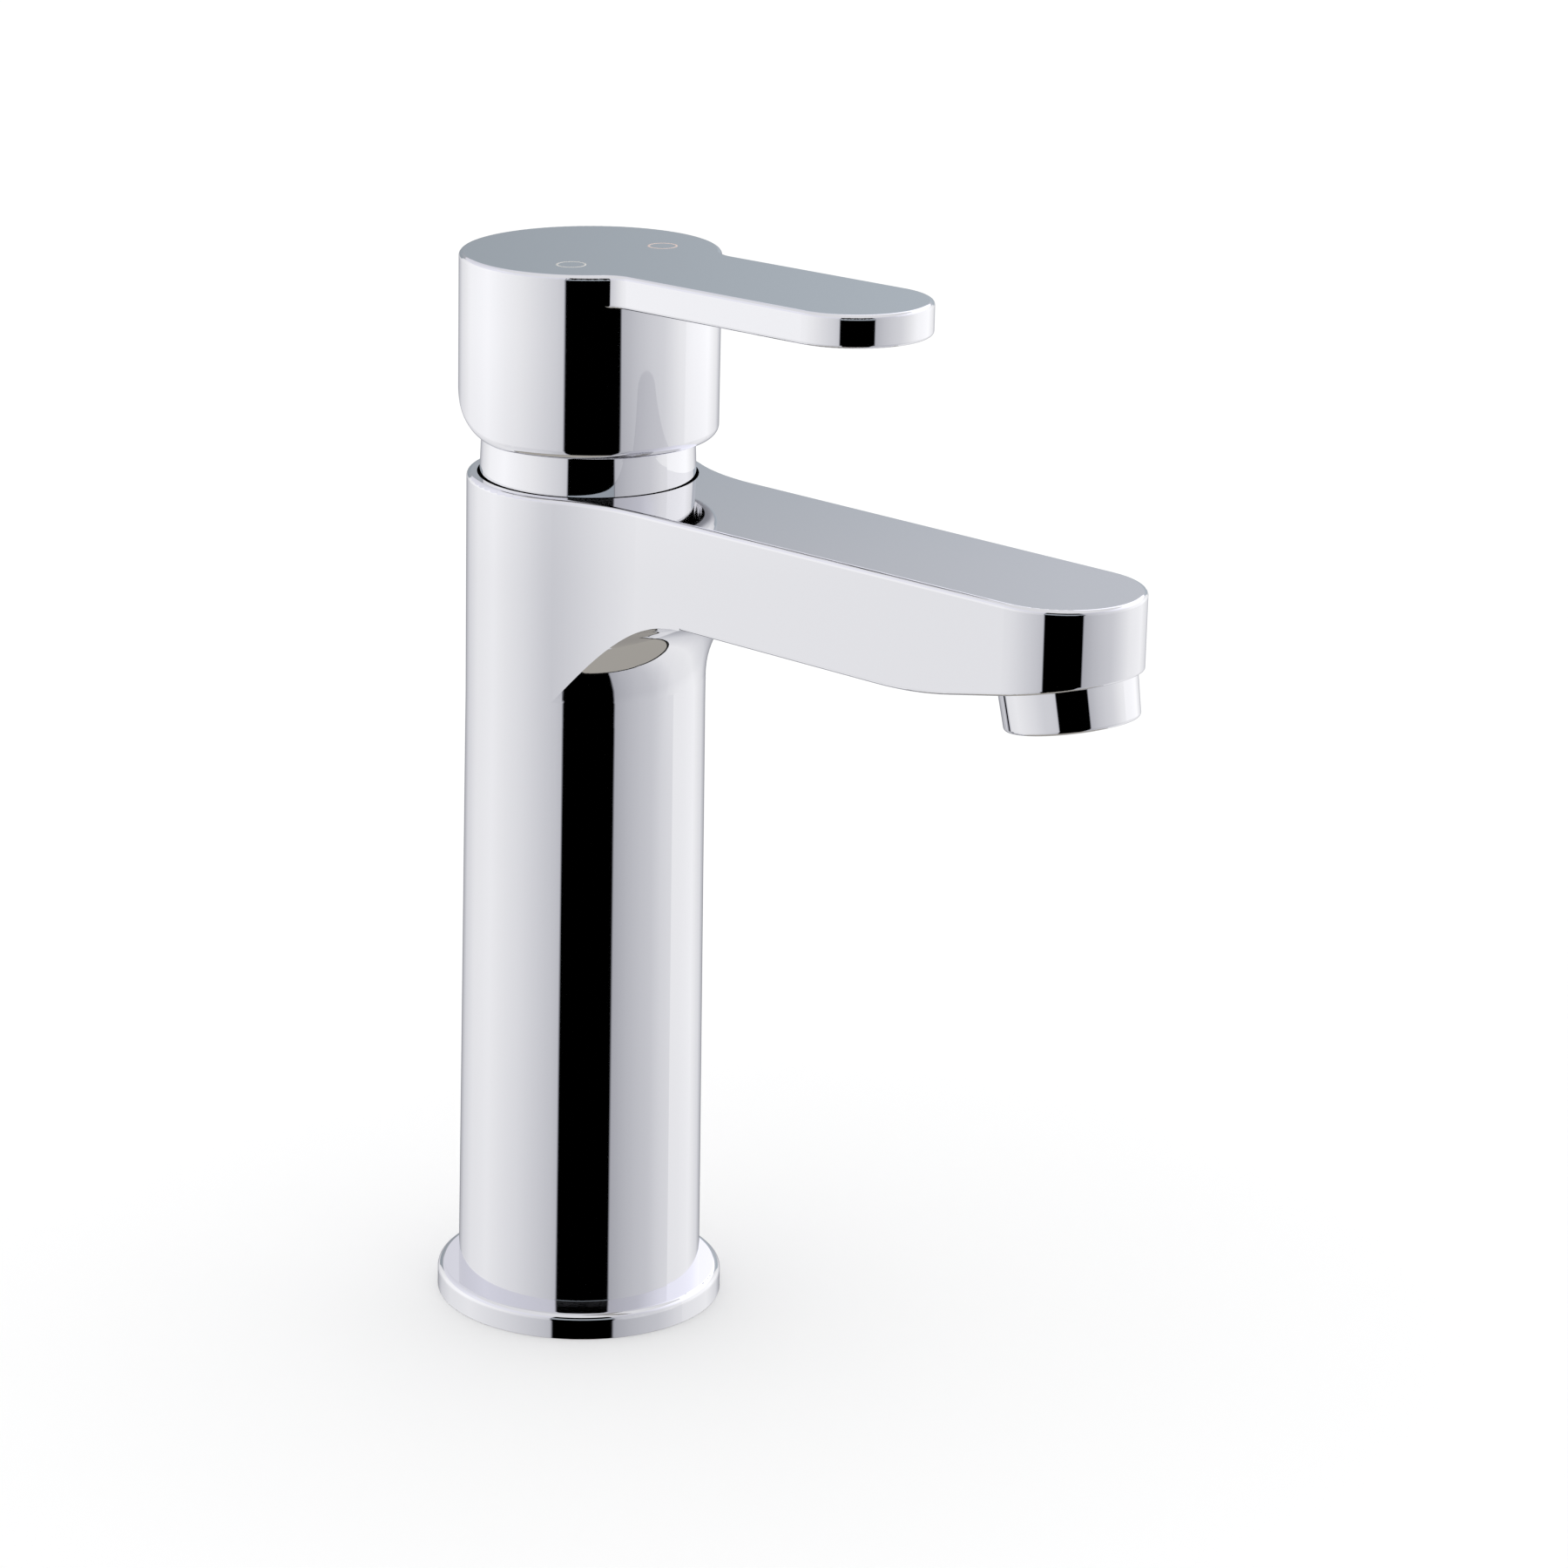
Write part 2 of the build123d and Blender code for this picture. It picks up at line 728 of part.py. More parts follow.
# Flat strainer on top of the core
with BuildPart() as aerator_screen:
    with BuildSketch(aerator_plane.offset(core_high)):
        Circle(screen_r)
    extrude(amount=screen_h)
    with BuildSketch(aerator_plane.offset(core_high)):
        with HexLocations(screen_hole_apothem, 7, 7):
            Circle(screen_hole_r)
        Circle(screen_field_r, mode=Mode.INTERSECT)
    extrude(amount=screen_h, mode=Mode.SUBTRACT)
aerator_screen.part.label = "aerator_screen"
export_step(aerator_screen.part, "parts/aerator_screen.step")

# ---- Handle ----

slope = math.tan(math.radians(handle_slope))
nose_base_x = lever_tip_x - lever_half


def handle_top(x):
    """Height of the handle's sloping top at x."""
    return handle_top_z + slope * x


# Lever and cap seen from above, cut to the thickness of the plate
with BuildPart() as lever_plate:
    with BuildSketch(Plane.XY.offset(above_z)) as lever_plan:
        with BuildLine():
            Polyline(
                (nose_base_x, -lever_half),
                (0, -lever_half),
                (0, lever_half),
                (nose_base_x, lever_half),
            )
            CenterArc((nose_base_x, 0), lever_half, -90, 180)
        make_face()
        Circle(handle_r)
        inner_corners = [
            v for v in lever_plan.vertices() if 5 < v.X < handle_r and abs(v.Y) > 10
        ]
        fillet(inner_corners, radius=lever_blend_r)
    extrude(amount=reach)
    with BuildSketch(Plane.XZ.offset(-reach)):
        Polygon(
            (-reach, handle_top(-reach)),
            (2 * reach, handle_top(2 * reach)),
            (2 * reach, handle_top(2 * reach) - lever_thick),
            (-reach, handle_top(-reach) - lever_thick),
            align=None,
        )
    extrude(amount=2 * reach, mode=Mode.INTERSECT)

with BuildPart() as handle:
    with BuildSketch(Plane.XY.offset(handle_bottom_z)):
        Circle(handle_r)
    extrude(amount=skirt_top_z - handle_bottom_z)
    add(lever_plate.part)
    # curved cut under the back of the skirt
    with BuildSketch(Plane.XZ.offset(-reach)):
        with BuildLine():
            EllipticalCenterArc(
                (back_cut_x, handle_bottom_z + back_cut_h),
                back_cut_half,
                back_cut_h,
                start_angle=180,
                arc_size=90,
            )
            Polyline(
                (back_cut_x, handle_bottom_z),
                (back_cut_x, handle_bottom_z - back_cut_below),
                (-reach, handle_bottom_z - back_cut_below),
                (-reach, handle_bottom_z + back_cut_h),
                (back_cut_x - back_cut_half, handle_bottom_z + back_cut_h),
            )
        make_face()
    extrude(amount=2 * reach, mode=Mode.SUBTRACT)
    top_edges = [
        e for e in handle.edges()
        if abs(e.center().Z - handle_top(e.center().X)) < 0.05
    ]
    fillet(top_edges, radius=top_rim_r)
    lever_edges = [
        e for e in handle.edges()
        if e.center().X > handle_r + 0.5
        and abs(e.center().Z - handle_top(e.center().X) + lever_thick) < 0.05
    ]
    fillet(lever_edges, radius=lever_edge_r)
    skirt_edges = [
        e for e in handle.edges()
        if e.center().Z < handle_bottom_z + back_cut_h - 1 and abs(e.tangent_at(0.5).Z) < 0.95
    ]
    fillet(skirt_edges, radius=skirt_edge_r)
    # hollow skirt and the boss that takes the spindle
    with BuildSketch(Plane.XY.offset(handle_bottom_z - overlap)):
        Circle(handle_bore_r)
    extrude(amount=hollow_top_z - handle_bottom_z + overlap, mode=Mode.SUBTRACT)
    with BuildSketch(Plane.XY.offset(boss_bottom_z)):
        Circle(boss_r)
    extrude(amount=skirt_top_z - 1 - boss_bottom_z)
    socket_side = 2 * spindle_half + spindle_gap
    with BuildSketch(Plane.XY.offset(boss_bottom_z)):
        Rectangle(socket_side, socket_side)
    extrude(amount=spindle_top_z + 3 * spindle_gap - boss_bottom_z, mode=Mode.SUBTRACT)
    # set screw's hole through the back
    with BuildSketch(Plane.YZ.offset(-spindle_half)):
        with Locations((0, screw_z)):
            Circle(screw_r + screw_gap)
    extrude(amount=-(boss_r + overlap - spindle_half), mode=Mode.SUBTRACT)
    with BuildSketch(Plane.YZ.offset(-handle_bore_r + 2)):
        with Locations((0, screw_z)):
            Circle(plug_r + screw_gap)
    extrude(amount=-boss_r, mode=Mode.SUBTRACT)
handle.part.label = "handle"
export_step(handle.part, "parts/handle.step")

# Spindle: square shank above, pivot hole, and a ball that drives the carrier
with BuildPart() as spindle:
    with BuildSketch(Plane.XY.offset(spindle_foot_z)):
        Rectangle(2 * spindle_half, 2 * spindle_half)
    extrude(amount=spindle_top_z - spindle_foot_z)
    with BuildSketch(Plane.XY.offset(ball_z)):
        Circle(spindle_neck_r)
    extrude(amount=spindle_foot_z + 1 - ball_z)
    with Locations((0, 0, ball_z)):
        Sphere(ball_r)
    with BuildSketch(Plane.XZ.offset(-reach)):
        with Locations((0, pivot_z)):
            Circle(pin_run_r)
    extrude(amount=2 * reach, mode=Mode.SUBTRACT)
spindle.part.label = "spindle"
export_step(spindle.part, "parts/spindle.step")

# Set screw with a hexagon socket, and the plug that hides it
with BuildPart() as set_screw:
    with BuildSketch(Plane.YZ.offset(-spindle_half)):
        with Locations((0, screw_z)):
            Circle(screw_r)
    extrude(amount=-screw_len)
    with BuildSketch(Plane.YZ.offset(-spindle_half - screw_len)):
        with Locations((0, screw_z)):
            RegularPolygon(socket_hex_r, 6)
    extrude(amount=socket_depth, mode=Mode.SUBTRACT)
set_screw.part.label = "set_screw"
export_step(set_screw.part, "parts/set_screw.step")

with BuildPart() as screw_plug:
    with BuildSketch(Plane.YZ.offset(-handle_bore_r)):
        with Locations((0, screw_z)):
            Circle(plug_r)
    extrude(amount=-plug_len)
screw_plug.part.label = "screw_plug"
export_step(screw_plug.part, "parts/screw_plug.step")
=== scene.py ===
import math

import bmesh
import bpy
from mathutils import Matrix, Vector


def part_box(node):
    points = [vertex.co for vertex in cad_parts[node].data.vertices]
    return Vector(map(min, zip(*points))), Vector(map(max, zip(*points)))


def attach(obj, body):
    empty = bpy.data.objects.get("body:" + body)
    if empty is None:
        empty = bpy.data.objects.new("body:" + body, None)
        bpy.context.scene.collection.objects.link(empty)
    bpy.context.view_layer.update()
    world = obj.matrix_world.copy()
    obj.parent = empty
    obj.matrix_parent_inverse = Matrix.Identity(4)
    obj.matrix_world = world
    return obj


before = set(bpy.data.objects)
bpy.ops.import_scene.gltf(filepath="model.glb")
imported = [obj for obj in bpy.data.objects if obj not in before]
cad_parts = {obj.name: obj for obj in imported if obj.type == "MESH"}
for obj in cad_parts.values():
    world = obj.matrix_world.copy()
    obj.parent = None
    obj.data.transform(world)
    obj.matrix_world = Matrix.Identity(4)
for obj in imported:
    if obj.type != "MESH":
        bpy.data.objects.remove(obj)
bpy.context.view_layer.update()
print("frame loaded:", len(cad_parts), "nodes")


def hexToLinear(code):
    # sRGB hex such as "#C8CCD2" to the linear values that Blender's sockets take
    values = []
    for i in (1, 3, 5):
        c = int(code[i:i + 2], 16) / 255
        values.append(c / 12.92 if c <= 0.04045 else ((c + 0.055) / 1.055) ** 2.4)
    return (*values, 1.0)


def newMaterial(name):
    material = bpy.data.materials.new(name)
    material.use_nodes = True
    material.node_tree.nodes.clear()
    return material


def addNode(material, kind, inputs=None, links=None, **settings):
    # adds one node; inputs are fixed values, links are sockets of earlier nodes
    node = material.node_tree.nodes.new(kind)
    for key, value in settings.items():
        setattr(node, key, value)
    for key, value in (inputs or {}).items():
        node.inputs[key].default_value = value
    for key, socket in (links or {}).items():
        material.node_tree.links.new(socket, node.inputs[key])
    return node


chrome = {
    "colour": "#E4E4E7",       # decorative chromium over nickel, faintly blue
    "roughnessLow": 0.022,     # mirror polish
    "roughnessHigh": 0.055,    # where wiping has dulled it
    "wipeMm": 35.0,            # size of the wiping haze
    "rippleMm": 9.0,           # slow ripple that hand polishing leaves in the brass
    "rippleDepthMm": 0.0012,
    "scratchMm": 0.55,         # hairline polishing marks, drawn coarse so that they show close up
    "scratchStretch": 0.06,    # pattern scale along the marks, beside 1 across
    "scratchShare": 0.3,       # how much they count beside the haze
}


def polishedChrome(name, settings, directionAxis="Z"):
    # electroplated mirror chrome: sharp reflections, slightly uneven from buffing
    m = newMaterial(name)
    place = addNode(m, "ShaderNodeTexCoord")
    haze = addNode(m, "ShaderNodeTexNoise",
                   {"Scale": 1000 / settings["wipeMm"], "Detail": 3.0, "Roughness": 0.55},
                   {"Vector": place.outputs["Object"]})
    along = settings["scratchStretch"]
    stretch = addNode(m, "ShaderNodeMapping",
                      {"Scale": (1, 1, along) if directionAxis == "Z" else (along, 1, 1)},
                      {"Vector": place.outputs["Object"]})
    marks = addNode(m, "ShaderNodeTexNoise", {"Scale": 1000 / settings["scratchMm"], "Detail": 2.0},
                    {"Vector": stretch.outputs["Vector"]})
    mixed = addNode(m, "ShaderNodeMath", {1: settings["scratchShare"]},
                    {0: marks.outputs["Fac"], 2: haze.outputs["Fac"]}, operation="MULTIPLY_ADD")
    gloss = addNode(m, "ShaderNodeMapRange",
                    {"From Min": 0.45, "From Max": 0.95,
                     "To Min": settings["roughnessLow"], "To Max": settings["roughnessHigh"]},
                    {"Value": mixed.outputs["Value"]})
    ripple = addNode(m, "ShaderNodeTexNoise", {"Scale": 1000 / settings["rippleMm"], "Detail": 1.0},
                     {"Vector": place.outputs["Object"]})
    bump = addNode(m, "ShaderNodeBump", {"Strength": 0.25, "Distance": settings["rippleDepthMm"] / 1000},
                   {"Height": ripple.outputs["Fac"]})
    shader = addNode(m, "ShaderNodeBsdfPrincipled",
                     {"Base Color": hexToLinear(settings["colour"]), "Metallic": 1.0},
                     {"Roughness": gloss.outputs["Result"], "Normal": bump.outputs["Normal"]})
    addNode(m, "ShaderNodeOutputMaterial", None, {"Surface": shader.outputs["BSDF"]})
    return m


speckle = {"darkBelow": 0.35, "lightAbove": 0.7, "roughnessSpread": 0.2, "bumpStrength": 0.5}


def speckled(name, colour, darker, roughness, grainMm, bumpMm, metallic=0.0):
    # plain body with a fine grain: the base of the rubber, plastic, ceramic and turned pieces
    m = newMaterial(name)
    place = addNode(m, "ShaderNodeTexCoord")
    grain = addNode(m, "ShaderNodeTexNoise", {"Scale": 1000 / grainMm, "Detail": 4.0},
                    {"Vector": place.outputs["Object"]})
    ramp = addNode(m, "ShaderNodeValToRGB", None, {"Fac": grain.outputs["Fac"]})
    ramp.color_ramp.elements[0].position = speckle["darkBelow"]
    ramp.color_ramp.elements[0].color = hexToLinear(darker)
    ramp.color_ramp.elements[1].position = speckle["lightAbove"]
    ramp.color_ramp.elements[1].color = hexToLinear(colour)
    spread = speckle["roughnessSpread"]
    gloss = addNode(m, "ShaderNodeMapRange",
                    {"To Min": roughness * (1 - spread), "To Max": min(1.0, roughness * (1 + spread))},
                    {"Value": grain.outputs["Fac"]})
    bump = addNode(m, "ShaderNodeBump", {"Strength": speckle["bumpStrength"], "Distance": bumpMm / 1000},
                   {"Height": grain.outputs["Fac"]})
    shader = addNode(m, "ShaderNodeBsdfPrincipled", {"Metallic": metallic},
                     {"Base Color": ramp.outputs["Color"], "Roughness": gloss.outputs["Result"],
                      "Normal": bump.outputs["Normal"]})
    addNode(m, "ShaderNodeOutputMaterial", None, {"Surface": shader.outputs["BSDF"]})
    return m


# plated casting, buffed up and down: reflections smear a little along the column
bodyChrome = polishedChrome("bodyChrome", chrome)
# plated rings with a slower ripple, so their reflections run more evenly
trimChrome = polishedChrome("trimChrome", {**chrome, "rippleMm": 14.0})
# plated lever, buffed along its length
leverChrome = polishedChrome("leverChrome", chrome, "X")
# moulded nitrile: matt black, faintly mottled
nitrileRubber = speckled("nitrileRubber", "#1B1B1D", "#111113", 0.62, 0.8, 0.02)
# machined brass, left bare inside: yellow with a darker grain
turnedBrass = speckled("turnedBrass", "#C9A45C", "#A5813F", 0.28, 0.6, 0.01, metallic=1.0)
# drawn copper tube: reddish, a little dull from handling
drawnCopper = speckled("drawnCopper", "#C08060", "#9A6047", 0.32, 1.5, 0.01, metallic=1.0)
# ground stainless steel: grey with a fine grain
groundSteel = speckled("groundSteel", "#A9ABAE", "#7F8286", 0.3, 0.5, 0.008, metallic=1.0)
# moulded acetal, natural and dark grey: waxy, almost even
acetal = speckled("acetal", "#E4E4DF", "#D3D3CC", 0.42, 1.2, 0.015)
darkAcetal = speckled("darkAcetal", "#4A4E55", "#3C4046", 0.42, 1.2, 0.015)
# lapped alumina: ivory and glossy
aluminaCeramic = speckled("aluminaCeramic", "#EFEDE6", "#E2DFD6", 0.12, 0.3, 0.001)
# moulded ABS plug that hides the screw: grey, satin
greyCap = speckled("greyCap", "#9A9DA2", "#8A8D92", 0.25, 1.0, 0.01)

nodeMaterials = {
    "body_casting": bodyChrome, "base_ring": trimChrome, "bonnet": trimChrome,
    "aerator_shell": trimChrome, "handle": leverChrome,
    "base_gasket": nitrileRubber, "inlet_seals": nitrileRubber, "disc_seals": nitrileRubber,
    "housing_oring": nitrileRubber, "bonnet_ring": nitrileRubber, "aerator_gasket": nitrileRubber,
    "foot_block": turnedBrass, "cartridge_nut": turnedBrass, "spindle": turnedBrass,
    "hot_riser": drawnCopper, "cold_riser": drawnCopper,
    "set_screw": groundSteel, "pivot_pin": groundSteel, "aerator_screen": groundSteel,
    "cartridge_base": acetal, "cartridge_housing": acetal, "aerator_core": acetal,
    "rotor": darkAcetal, "disc_carrier": darkAcetal,
    "fixed_disc": aluminaCeramic, "moving_disc": aluminaCeramic, "screw_plug": greyCap,
}
for nodeName, material in nodeMaterials.items():
    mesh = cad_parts[nodeName].data
    mesh.materials.clear()
    mesh.materials.append(material)
print("materials set")

# hot and cold marks on the handle
markRings = {
    "centreMm": (7.2, 12.9),
    "radiusMm": 2.75,
    "lineMm": 0.22,           # half of the line's width at its foot
    "shoulder": 0.7,          # share of it that is full height
    "proudMm": 0.02,
    "sunkMm": 0.0006,
    "steps": 64,
    "wearMm": 1.5,
    "roughnessLow": 0.2,
    "roughnessHigh": 0.5,
}
handleTop = {"heightMm": 218.4, "slopeDeg": 0.87}


def markMaterial(name, colour):
    # pad-printed lacquer ring, almost worn to the metal
    m = newMaterial(name)
    place = addNode(m, "ShaderNodeTexCoord")
    wear = addNode(m, "ShaderNodeTexNoise", {"Scale": 1000 / markRings["wearMm"], "Detail": 3.0},
                   {"Vector": place.outputs["Object"]})
    gloss = addNode(m, "ShaderNodeMapRange",
                    {"To Min": markRings["roughnessLow"], "To Max": markRings["roughnessHigh"]},
                    {"Value": wear.outputs["Fac"]})
    shader = addNode(m, "ShaderNodeBsdfPrincipled", {"Base Color": hexToLinear(colour), "Metallic": 0.9},
                     {"Roughness": gloss.outputs["Result"]})
    addNode(m, "ShaderNodeOutputMaterial", None, {"Surface": shader.outputs["BSDF"]})
    return m


def makeMarkRing(name, side, material):
    # a flat ring with sloping edges that just enter the metal
    r, line, steps = markRings["radiusMm"], markRings["lineMm"], markRings["steps"]
    proud, sunk = markRings["proudMm"], -markRings["sunkMm"]
    top = line * markRings["shoulder"]
    section = ((r - line, sunk), (r - top, proud), (r + top, proud), (r + line, sunk))
    bm = bmesh.new()
    slope = math.tan(math.radians(handleTop["slopeDeg"]))
    loops = []
    for radius, lift in section:
        loop = []
        for i in range(steps):
            a = 2 * math.pi * i / steps
            x = markRings["centreMm"][0] + radius * math.cos(a)
            y = side * markRings["centreMm"][1] + radius * math.sin(a)
            z = handleTop["heightMm"] + slope * x + lift
            loop.append(bm.verts.new((x / 1000, y / 1000, z / 1000)))
        loops.append(loop)
    for first, second in zip(loops, loops[1:] + loops[:1]):
        for i in range(steps):
            j = (i + 1) % steps
            bm.faces.new((first[i], second[i], second[j], first[j]))
    bmesh.ops.recalc_face_normals(bm, faces=bm.faces)
    mesh = bpy.data.meshes.new(name)
    bm.to_mesh(mesh)
    bm.free()
    mesh.materials.append(material)
    ring = bpy.data.objects.new(name, mesh)
    bpy.context.scene.collection.objects.link(ring)
    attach(ring, "lever_handle")
    return ring


makeMarkRing("hotMark", 1, markMaterial("hotLacquer", "#EBD3C4"))
makeMarkRing("coldMark", -1, markMaterial("coldLacquer", "#E3E0D6"))
print("marks made")

cameraSetup = {
    "azimuth": 43.7,          # degrees round from looking along +Y
    "distanceMm": 969.3,      # from the column's axis, level
    "heightMm": 419.2,
    "pitchDown": 17.75,
    "roll": 0.66,
    "lensMm": 115.748,        # on a sensor 36 mm wide
    "sensorMm": 36,
    "shiftX": 0.127306,       # the faucet stands left of the frame's middle
}

tent = {
    "radius": 2.4,
    "low": -3.5,
    "edge": 0.14,             # dark edge where the wall meets the table cloth
    "high": 2.6,
    "clothTo": 0.96,          # above this the cloth is bright
    "greySpan": 150,          # further round than this from the camera the cloth is grey
    # grey cloth behind, as (height, colour); the flat tops mirror it
    "greys": [(0.12, "#A2AAB1"), (0.50, "#A8B0B7"), (0.72, "#ACB4BB"), (0.84, "#B8BBC1"),
              (0.96, "#B9BCC1")],
    "greySlope": 0.03,        # and the grey gets this much brighter with each degree to the right
    # how bright the walls are low down, as (height, factor)
    "shading": [(-3.36, 0.84), (-1.07, 0.85), (-0.78, 0.90), (-0.50, 0.91), (-0.33, 1.03), (0.12, 1.04)],
    # degrees round from the camera's direction, and brightness of the cloth there
    "levels": [(-180, 0.30), (-168, 0.42), (-150, 0.85), (-128, 1.08), (-100, 1.16), (-62, 0.98), (-28, 0.76),
               (-22.5, 0.70), (-20.5, 0.0), (27, 0.0), (29, 0.55), (42, 0.66), (55, 0.74), (68, 0.80),
               (99, 1.12), (128, 1.20), (150, 0.92), (168, 0.42), (180, 0.30)],
    # the same for the bright cloth above
    "upperLevels": [(-180, 0.95), (-177, 0.78), (-150, 0.86), (-100, 1.02), (-28, 0.85), (-22.5, 0.80),
                    (-20.5, 0.0), (27, 0.0), (29, 0.62), (58, 0.76), (75, 0.98), (99, 1.28), (150, 1.40),
                    (177, 1.30), (180, 0.95)],
    "upperBlue": 1.08,        # the bright cloth is faintly lavender
    "edgeLevel": 0.02,
    "gapBelow": 0.01,         # a level under this counts as the dark gap
    "greyLimits": (0.9, 1.25),
    "blue": 1.01,             # lit cloth; shaded cloth is a little bluer
    "shadedBlue": 0.12,
    "shadedRed": 0.02,
    "strips": 360,
    "inset": 0.002,           # each corner takes its level this far inside its strip
    "capOverlap": 1.01,
    "floorColour": "#B2AEA6",
    "roofColour": "#F2F2F4",
}


def makeCamera(settings):
    azimuth = math.radians(settings["azimuth"])
    pitch = math.radians(settings["pitchDown"])
    roll = math.radians(settings["roll"])
    level = Vector((-math.sin(azimuth), math.cos(azimuth), 0))
    forward = level * math.cos(pitch) - Vector((0, 0, math.sin(pitch)))
    right = Vector((math.cos(azimuth), math.sin(azimuth), 0))
    up = right.cross(forward)
    rightRolled = right * math.cos(roll) + up * math.sin(roll)
    upRolled = up * math.cos(roll) - right * math.sin(roll)
    data = bpy.data.cameras.new("camera")
    camera = bpy.data.objects.new("camera", data)
    bpy.context.scene.collection.objects.link(camera)
    matrix = Matrix((rightRolled, upRolled, -forward)).transposed().to_4x4()
    height = Vector((0, 0, settings["heightMm"] / 1000))
    matrix.translation = height - level * settings["distanceMm"] / 1000
    camera.matrix_world = matrix
    data.sensor_width = settings["sensorMm"]
    data.lens = settings["lensMm"]
    data.shift_x = settings["shiftX"]
    data.clip_start = 0.05
    data.clip_end = 50
    bpy.context.scene.camera = camera
    return camera


makeCamera(cameraSetup)


def emissionMaterial(name, colour):
    m = newMaterial(name)
    glow = addNode(m, "ShaderNodeEmission", {"Color": hexToLinear(colour), "Strength": 1.0})
    addNode(m, "ShaderNodeOutputMaterial", None, {"Surface": glow.outputs["Emission"]})
    return m


def stageObject(name, mesh, material):
    mesh.materials.append(material)
    thing = bpy.data.objects.new(name, mesh)
    bpy.context.scene.collection.objects.link(thing)
    return thing


def onlyInReflections(thing):
    thing.visible_camera = False
    thing.visible_diffuse = False
    thing.visible_shadow = False
    thing.visible_transmission = False
    thing.visible_volume_scatter = False


def between(table, place):
    # straight-line value at a place in a list of (place, value)
    for (a, v), (b, w) in zip(table, table[1:]):
        if a <= place <= b:
            return v + (w - v) * (place - a) / (b - a)
    return table[0][1] if place < table[0][0] else table[-1][1]


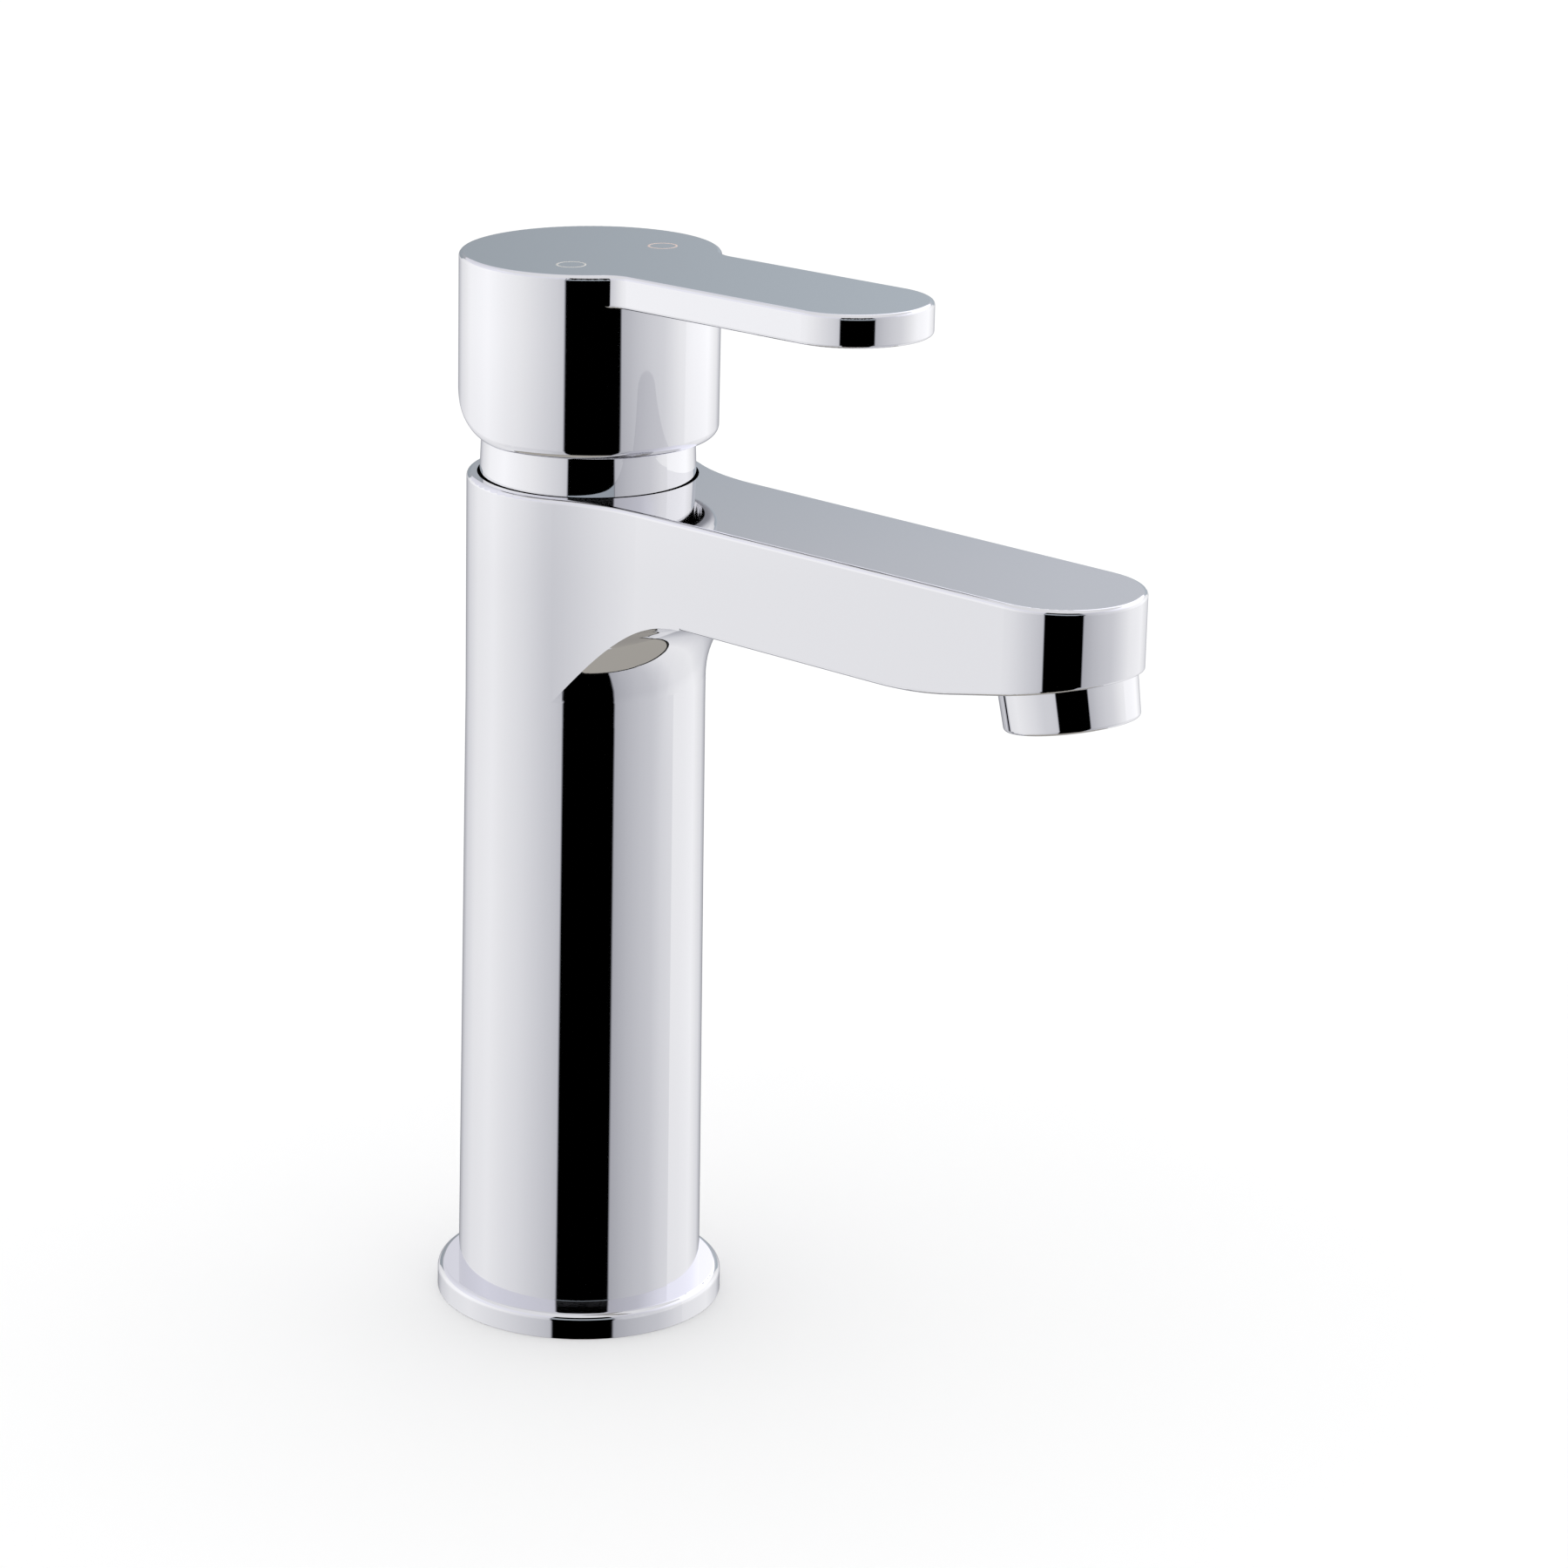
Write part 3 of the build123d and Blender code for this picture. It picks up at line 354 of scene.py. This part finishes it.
def makeTent(settings):
    # a light tent that only the polished metal sees, in narrow upright strips
    towardsCamera = math.radians(cameraSetup["azimuth"] - 90)
    strips = settings["strips"]
    mesh = bpy.data.meshes.new("tentWall")
    bm = bmesh.new()
    layer = bm.loops.layers.float_color.new("glow")
    greys = [[(height, hexToLinear(code)[i]) for height, code in settings["greys"]] for i in range(3)]

    def clothColour(angle, z, zone):
        if zone == "edge":
            return (*[settings["edgeLevel"]] * 3, 1)
        inGap = between(settings["levels"], angle) < settings["gapBelow"]
        if zone == "cloth" and inGap:
            return (*(between(grey, z) for grey in greys), 1)
        if zone == "cloth" and abs(angle) > settings["greySpan"]:
            fromBack = 180 - angle if angle > 0 else -180 - angle
            dimmest, brightest = settings["greyLimits"]
            lift = max(dimmest, min(brightest, 1 + settings["greySlope"] * fromBack))
            return (*(between(grey, z) * lift for grey in greys), 1)
        if zone == "upper":
            value = between(settings["upperLevels"], angle)
            return (value, value, value * settings["upperBlue"], 1)
        value = between(settings["levels"], angle) * between(settings["shading"], z)
        cool = max(0.0, 1.0 - value)
        red = value * (1 - settings["shadedRed"] * cool)
        blue = value * (settings["blue"] + settings["shadedBlue"] * cool)
        return (red, value, blue, 1)

    def wallPoint(angle, z):
        # angles grow to the right as the camera sees the metal
        turn = towardsCamera + math.radians(angle)
        return (settings["radius"] * math.cos(turn), settings["radius"] * math.sin(turn), z)

    angles = [-180 + 360 * i / strips for i in range(strips + 1)]
    angles = sorted(set(angles + [angle for angle, value in settings["levels"]]))
    rows = [(settings["low"], settings["low"] + settings["edge"], "edge")]
    heights = [height for height, factor in settings["shading"]]
    rows += [(low, high, "wall") for low, high in zip(heights, heights[1:])]
    heights = [height for height, colour in settings["greys"]]
    rows += [(low, high, "cloth") for low, high in zip(heights, heights[1:])]
    rows += [(settings["clothTo"], settings["high"], "upper")]
    inset = settings["inset"]
    for a, b in zip(angles, angles[1:]):
        middle = (a + b) / 2
        for low, high, zone in rows:
            corners = ((a, low), (b, low), (b, high), (a, high))
            face = bm.faces.new([bm.verts.new(wallPoint(*corner)) for corner in corners])
            for loop, (angle, z) in zip(face.loops, corners):
                loop[layer] = clothColour(angle * (1 - inset) + middle * inset, z, zone)
    bm.to_mesh(mesh)
    bm.free()
    m = newMaterial("tentCloth")
    colour = addNode(m, "ShaderNodeVertexColor", layer_name="glow")
    glow = addNode(m, "ShaderNodeEmission", {"Strength": 1.0}, {"Color": colour.outputs["Color"]})
    addNode(m, "ShaderNodeOutputMaterial", None, {"Surface": glow.outputs["Emission"]})
    wall = stageObject("tentWall", mesh, m)
    onlyInReflections(wall)

    for name, height, colour in (("tentRoof", settings["high"], settings["roofColour"]),
                                 ("tentFloor", settings["low"], settings["floorColour"])):
        discMesh = bpy.data.meshes.new(name)
        bm = bmesh.new()
        bmesh.ops.create_circle(bm, cap_ends=True, segments=64,
                                radius=settings["radius"] * settings["capOverlap"])
        bmesh.ops.translate(bm, vec=(0, 0, height), verts=bm.verts)
        bm.to_mesh(discMesh)
        bm.free()
        onlyInReflections(stageObject(name, discMesh, emissionMaterial(name, colour)))


makeTent(tent)

floor = {"size": 6.0, "colour": "#F7F7F7", "belowRing": 0.0001}
sky = {"brightness": 1.12}
floorMesh = bpy.data.meshes.new("floor")
bm = bmesh.new()
bmesh.ops.create_grid(bm, x_segments=1, y_segments=1, size=floor["size"] / 2)
bmesh.ops.translate(bm, vec=(0, 0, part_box("base_ring")[0][2] - floor["belowRing"]), verts=bm.verts)
bm.to_mesh(floorMesh)
bm.free()
floorMaterial = newMaterial("floorPaper")
floorShader = addNode(floorMaterial, "ShaderNodeBsdfPrincipled",
                      {"Base Color": hexToLinear(floor["colour"]), "Roughness": 0.9,
                       "Specular IOR Level": 0.0})
addNode(floorMaterial, "ShaderNodeOutputMaterial", None, {"Surface": floorShader.outputs["BSDF"]})
floorObject = stageObject("floor", floorMesh, floorMaterial)
floorObject.visible_glossy = False    # the metal mirrors the tent instead

world = bpy.data.worlds.new("studio")
bpy.context.scene.world = world
world.use_nodes = True
world.node_tree.nodes["Background"].inputs["Color"].default_value = (1, 1, 1, 1)
world.node_tree.nodes["Background"].inputs["Strength"].default_value = sky["brightness"]
bpy.context.scene.view_settings.view_transform = "Standard"
print("studio set")
